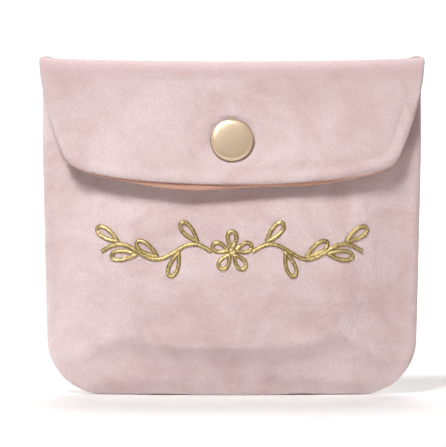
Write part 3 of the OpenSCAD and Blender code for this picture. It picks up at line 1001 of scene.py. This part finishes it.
def stem_z(x):
    return MOTIF_Z + 2.6 * np.sin(math.tau * 1.5 * (x - STEM_FROM) / (MOTIF_HALF_W - STEM_FROM))


def teardrop(x, z, length, angle, width):
    """A leaf or petal from its tip at x, z."""
    t = np.linspace(0, math.tau, 40, endpoint=False)
    along, aside = length * (1 - np.cos(t)) / 2, length * width * np.sin(t) * np.sin(t / 2)
    return np.stack([x + along * math.cos(angle) - aside * math.sin(angle),
                     z + along * math.sin(angle) + aside * math.cos(angle)], -1)


def sprig():
    """A wavy stem with leaves to either side of a five-petalled blossom."""
    bundle = Bundle()
    for side in (1, -1):
        x = np.linspace(STEM_FROM, MOTIF_HALF_W, 80)
        stitch_line(bundle, np.stack([side * x, stem_z(x)], -1))
        for k in range(5):
            foot = mix(STEM_FROM, MOTIF_HALF_W, (k + 0.75) / 5.6)
            way = 1 if k % 2 == 0 else -1
            slope = math.atan2(stem_z(foot + 0.5) - stem_z(foot - 0.5), 1)
            leaf = teardrop(foot - way * math.sin(slope), stem_z(foot) + way * math.cos(slope), LEAF_L,
                            slope + way * math.radians(38), 0.24)
            stitch_line(bundle, leaf * [side, 1], True)
    for k in range(5):
        turn = QUARTER_TURN + math.tau * k / 5
        x, z = PETAL_FROM * math.cos(turn), MOTIF_Z + PETAL_FROM * math.sin(turn)
        stitch_line(bundle, teardrop(x, z, PETAL_L, turn, 0.36), True)
    turn = np.linspace(0, math.tau, 16, endpoint=False)
    stitch_line(bundle, np.stack([KNOT_R * np.cos(turn), MOTIF_Z + KNOT_R * np.sin(turn)], -1), True)
    return bundle.make("gold_sprig", [gold_cord_painted_shade, gold_fill_painted_highlight])


gold_sprig = sprig()

# ---------- Sewing ----------


def stitches(name, path, facing, length, gap, radius, lift):
    """A row of separate stitches along a path, each dipping into the cloth at both ends."""
    bundle = Bundle()
    run = run_from(path[:, None], 0)[:, 0]
    start = gap
    while start + length < run[-1]:
        at = np.linspace(start, start + length, 9)
        points, way = at_run(at, run, path), unit(at_run(at, run, facing))
        arch = np.sin(np.linspace(0, math.pi, 9))[:, None]
        bundle.add(*tube(points + way * (lift * arch - radius * (1 - arch)), way, radius, radius, 6))
        start += length + gap
    return bundle.make(name, [thread])


def spaced(line, facing):
    """A line and its directions without the points that nearly coincide."""
    keep = np.concatenate([[True], np.linalg.norm(np.diff(line, axis=0), axis=1) > 0.02])
    return line[keep], facing[keep]


def seam_path():
    """The seam's line round the sides and base, with the direction out of it."""
    points = tucked(wall(front_rows, columns, VELVET_T / 2, FRONT) + front_move, FRONT)
    n = wall_normals(wall(front_rows, columns, 0, FRONT), FRONT)
    rows = len(front_rows) - BASE_STEPS
    side = [(points[1:rows, k], n[1:rows, k]) for k in (-1, 0)]
    line = np.concatenate([side[0][0], points[-1, ::-1][2:-2], side[1][0][::-1]])
    facing = np.concatenate([side[0][1], n[-1, ::-1][2:-2], side[1][1][::-1]])
    line, facing = spaced(line, facing)
    line[:, 2] = np.maximum(line[:, 2], 0.35)
    return line, facing


seam_stitches = stitches("seam_stitches", *seam_path(), 2.1, 0.5, 0.22, 0.12)


def edge_path():
    """The line between velvet and lining along the flap's free edge, and the direction out of it."""
    surface = flap_surface(flap_flat)
    n = normals(surface, (0, -1, 0))
    line = surface - n * HEM_T
    first = 14
    down, along = np.arange(first, FLAP_ROWS), np.arange(ACROSS + 1)
    row = np.concatenate([down, np.full_like(along, FLAP_ROWS), down[::-1]])
    column = np.concatenate([np.zeros_like(down), along, np.full_like(down, ACROSS)])
    edge = line[row, column]
    facing = n[row, column]
    along = unit(np.gradient(edge, axis=0))
    out = unit(np.cross(along, facing))
    out[out @ np.array([0, 0, -1.0]) < 0] *= -1
    return spaced(edge, out)


edge_stitches = stitches("flap_edge_stitches", *edge_path(), 1.5, 0.9, 0.16, -0.12)

# ---------- The snap ----------


def arc(middle, radius, start, end, steps=6):
    """Points on a profile's round, with angles in degrees."""
    angles = np.radians(np.linspace(start, end, steps))
    return [(middle[0] + radius * math.cos(a), middle[1] + radius * math.sin(a)) for a in angles]


WALL_IN = WALL_T * math.cos(TILT)
FLAP_IN = (FLAP_GAP + FLAP_FLARE * ((FOLD_Z - SNAP_Z) / (FOLD_Z - FLAP_LOW_Z)) ** 2) * math.cos(TILT)
FLAP_OUT = FLAP_IN + WALL_IN
CAP_FROM = FLAP_OUT - PRESS
SOCKET_FROM = PRESS + FLANGE_T - 0.25
SOCKET_FLOOR = STUD_H + 0.25
SOCKET_TO = SOCKET_FLOOR + 0.35


def cap_profile():
    """The cap: a low dome with a fine turned line inside its rolled rim, and a hollow back."""
    def dome(r):
        return PRESS + CAP_H - 0.25 * (r / CAP_R) ** 2 - (CAP_H - 1.05) * (r / CAP_R) ** 9

    r = np.linspace(0.02, 6.55, 18)
    top = [(x, dome(x)) for x in r]
    line = [(6.68, dome(6.68) - 0.02), (6.76, dome(6.76) - 0.1), (6.84, dome(6.84) - 0.03)]
    roll = arc((CAP_R - 0.5, dome(CAP_R) - 0.42), 0.5, 88, 0, 9)
    under = arc((CAP_R - 0.28, 0.28), 0.28, 0, -150, 6)
    back = [(CAP_R - 0.6, dome(CAP_R) - 0.75), (CAP_R - 1.2, dome(CAP_R) - 0.45), (0.02, CAP_H - 0.1)]
    return top + line + roll + under + back


snap_cap = lathe("gold_cap", cap_profile(), gold, 128, CAP_FROM)
eyelet_profile = [
    (POST_R - 0.4, SOCKET_FLOOR + 0.1),
    *arc((POST_R - 0.1, SOCKET_FLOOR + 0.2), 0.1, 270, 360),
    *arc((POST_R + 0.35, CAP_FROM - 0.25), 0.35, 180, 90),
    (CAP_R - 0.6, CAP_FROM + 0.1),
    *arc((CAP_R - 0.6, CAP_FROM + 0.26), 0.16, -90, 90),
    (POST_R - 0.4, CAP_FROM + 0.42),
]
socket_profile = [
    (WELL_R, SOCKET_FROM + 0.15),
    *arc((WELL_R + 0.2, SOCKET_FROM + 0.2), 0.2, 180, 270),
    *arc((SOCKET_R - 0.35, SOCKET_FROM + 0.35), 0.35, 270, 360),
    *arc((SOCKET_R - 0.1, SOCKET_TO - 0.1), 0.1, 0, 90),
    (POST_R + METAL_GAP, SOCKET_TO),
    (POST_R + METAL_GAP, SOCKET_FLOOR),
    (WELL_R - 0.2, SOCKET_FLOOR),
]
stud_profile = [
    (POST_R + METAL_GAP, -PRESS),
    *arc((STUD_FLANGE_R - 0.2, 0.2 - PRESS), 0.2, 270, 360),
    *arc((STUD_FLANGE_R - 0.25, FLANGE_T - PRESS - 0.25), 0.25, 20, 90),
    (NECK_R + 0.2, FLANGE_T - PRESS),
    *arc((NECK_R + 0.2, FLANGE_T - PRESS + 0.2), 0.2, 270, 180),
    (NECK_R, STUD_H - 0.95),
    *arc((STUD_R - 0.3, STUD_H - 0.5), 0.3, -40, 40),
    *arc((STUD_R - 0.45, STUD_H - 0.3), 0.3, 40, 90),
    (0.9, STUD_H),
    (0.7, STUD_H - 0.18),
    (0.02, STUD_H - 0.2),
    (0.02, STUD_H - 0.5),
    (POST_R + METAL_GAP, STUD_H - 0.5),
]
rivet_profile = [
    (0.6, -WALL_IN - 0.2),
    *arc((STUD_FLANGE_R - 0.2, -WALL_IN), 0.2, 270, 360),
    *arc((STUD_FLANGE_R - 0.2, PRESS - WALL_IN - 0.2), 0.2, 0, 90),
    *arc((POST_R + 0.2, PRESS - WALL_IN + 0.2), 0.2, 270, 180),
    *arc((POST_R - 0.2, STUD_H - 0.8), 0.2, 0, 90),
    (0.6, STUD_H - 0.6),
]
cap_eyelet = lathe("gold_eyelet", eyelet_profile, gold, 64)
socket = lathe("gold_socket", socket_profile, gold)
stud = lathe("gold_stud", stud_profile, gold)
rivet = lathe("gold_rivet", rivet_profile, gold)


def spring():
    """The socket's spring: a half ring round the stud's head with two straight legs."""
    ring = STUD_R + METAL_GAP + SPRING_R
    leg = math.sqrt((WELL_R - METAL_GAP - SPRING_R) ** 2 - ring**2)
    turn = np.linspace(0, math.pi, 32)
    half_ring = np.stack([ring * np.cos(turn), ring * np.sin(turn)], -1)
    flat = np.concatenate([[(ring, -leg)], half_ring, [(-ring, -leg)]])
    flat = resample(flat, np.linspace(0, 1, 60))
    path = SNAP_FOOT + flat[:, :1] * np.array([1.0, 0, 0]) + flat[:, 1:] * UP + (STUD_H - 1.2) * OUT
    return make("socket_spring", *tube(path, np.broadcast_to(OUT, path.shape), SPRING_R, SPRING_R, 12), steel)


snap_spring = spring()


def washer(name, hole, radius, middle, thick):
    """A felt reinforcing ring."""
    profile = [(hole, middle - thick), *arc((radius - thick, middle), thick, -90, 90), (hole, middle + thick)]
    return lathe(name, profile, interfacing, 64)


PATCH_MIDDLE = PADDING_MIDDLE * math.cos(TILT)
stud_patch = washer("stud_felt", POST_R + METAL_GAP, PATCH_R, -PATCH_MIDDLE, PADDING_T / 4)
flap_patch = washer("flap_felt", SOCKET_R + METAL_GAP, PATCH_R, FLAP_OUT - PATCH_MIDDLE, PADDING_T / 4)


def backing():
    """The embroidery's backing, between the front's velvet and its padding."""
    rows = [i for i, row in enumerate(front_rows) if 33 < row[1] < 61]
    cols = np.flatnonzero(np.abs(columns) < 0.84)[::2]
    picked = np.ix_(rows, cols)
    depths = (VELVET_T + 0.09, VELVET_T + 0.21)
    grids = [tucked(wall(front_rows, columns, d, FRONT) + front_move, FRONT)[picked] for d in depths]
    return shell("embroidery_interfacing", *grids, interfacing)


embroidery_backing = backing()

# ---------- What each piece stands for: pieces of one body are attached to it, pieces of two keep their place ---

pieces = [
    # piece, body or bodies, nodes it stands for, material slot
    (velvet_front, "pouch", ["front_velvet"], "velvet"),
    (mouth_hem, "pouch", ["mouth_facing"], "velvet"),
    (lining_front, "pouch", ["front_lining"], "lining"),
    (padding_front, "pouch", ["front_padding"], "padding"),
    (velvet_back, ("pouch", "fold"), ["back_velvet", "fold_velvet"], "velvet"),
    (lining_back, ("pouch", "fold"), ["back_lining", "fold_lining"], "lining"),
    (padding_back, ("pouch", "fold"), ["back_padding", "fold_padding"], "padding"),
    (velvet_flap, ("fold", "flap"), ["flap_velvet"], "velvet"),
    (lining_flap, ("fold", "flap"), ["flap_lining"], "lining"),
    (padding_flap, ("fold", "flap"), ["flap_padding"], "padding"),
    (edge_stitches, ("fold", "flap"), ["flap_edge_thread"], "sewing_thread"),
    (seam_stitches, "pouch", ["seam_thread"], "sewing_thread"),
    (gold_sprig, "pouch", ["front_motif"], "gold_thread"),
    (embroidery_backing, "pouch", ["embroidery_backing"], "interfacing"),
    (stud, "pouch", ["snap_stud"], "gold_metal"),
    (rivet, "pouch", ["stud_rivet"], "gold_metal"),
    (stud_patch, "pouch", ["stud_patch"], "interfacing"),
    (snap_cap, "flap", ["snap_cap"], "gold_metal"),
    (cap_eyelet, "flap", ["cap_eyelet"], "gold_metal"),
    (socket, "flap", ["snap_socket"], "gold_metal"),
    (snap_spring, "flap", ["snap_spring"], "spring_steel"),
    (flap_patch, "flap", ["flap_patch"], "interfacing"),
]
for piece, bodies, nodes, slot in pieces:
    keep_rest(piece)
    if bodies == ("pouch", "fold"):
        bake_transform(piece)
    elif bodies == ("fold", "flap"):
        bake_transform(piece)
    else:
        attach(piece, bodies)
    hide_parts(*nodes)

# ---------- Studio ----------


WALL_AWAY = 1.3
WALL_BEND = 0.5


def stage_material():
    s = Shader("white_paper", Roughness=0.7)
    s.color(s.blend(s.noise(40, 3.0), tone(0.86, 0.86, 0.86), tone(0.89, 0.89, 0.89)))
    return s.material


def studio():
    """A pale floor that curves up into a backdrop."""
    bend = [(WALL_AWAY + WALL_BEND * math.sin(a), WALL_BEND * (1 - math.cos(a)))
            for a in np.linspace(0.1, QUARTER_TURN, 12)]
    curve = [(-2.5, 0.0), (WALL_AWAY, 0.0), *bend, (WALL_AWAY + WALL_BEND, 3.0)]
    points = np.array([[[x, y, z] for x in (-3.0, 3.0)] for y, z in curve]) / MM
    floor = make("paper_floor", points, quads(np.arange(len(curve) * 2).reshape(-1, 2)), stage_material())
    if floor.data.polygons[0].normal.z < 0:
        floor.data.flip_normals()


def area_light(name, place, aim, size, power, tint=(1, 1, 1), beam=180):
    """A round lamp whose light spreads over this many degrees."""
    data = bpy.data.lights.new(name, "AREA")
    data.spread = math.radians(beam)
    data.shape, data.size, data.energy, data.color = "DISK", size, power, tint
    light = bpy.data.objects.new(name, data)
    light.location = place
    light.rotation_euler = (Vector(aim) - Vector(place)).to_track_quat("-Z", "Y").to_euler()
    bpy.context.scene.collection.objects.link(light)


def camera():
    aim = Vector((-0.0031, 0.0, 0.0597))
    data = bpy.data.cameras.new("camera")
    data.lens, data.sensor_width = 150, 36
    cam = bpy.data.objects.new("camera", data)
    cam.location = aim + Vector((0, -0.652, 0))
    cam.rotation_euler = (aim - cam.location).to_track_quat("-Z", "Y").to_euler()
    bpy.context.scene.collection.objects.link(cam)
    bpy.context.scene.camera = cam


def surroundings():
    """A weak rosy light from all round, and a white that is only seen, past the edges of the floor."""
    world = bpy.data.worlds.new("world")
    world.use_nodes = True
    nodes, links = world.node_tree.nodes, world.node_tree.links
    nodes["Background"].inputs["Color"].default_value = tone(1.0, 0.62, 0.55)
    nodes["Background"].inputs["Strength"].default_value = 0.05
    seen = nodes.new("ShaderNodeBackground")
    seen.inputs["Color"].default_value = tone(0.95, 0.95, 0.95)
    either = nodes.new("ShaderNodeMixShader")
    links.new(nodes.new("ShaderNodeLightPath").outputs["Is Camera Ray"], either.inputs[0])
    links.new(nodes["Background"].outputs[0], either.inputs[1])
    links.new(seen.outputs[0], either.inputs[2])
    links.new(either.outputs[0], nodes["World Output"].inputs["Surface"])
    bpy.context.scene.world = world


studio()
camera()
area_light("key", (-0.38, -0.77, 1.18), (0, 0.10, 0.05), 0.46, 1.55, beam=46)
area_light("fill", (0.6, -0.6, 0.35), (0, 0, 0.06), 0.5, 0.5, (1.0, 0.66, 0.58))
area_light("back_wash", (0, 0.9, 1.5), (0, 1.5, 0.1), 1.2, 30.0)
surroundings()
bpy.context.scene.view_settings.view_transform = "Standard"
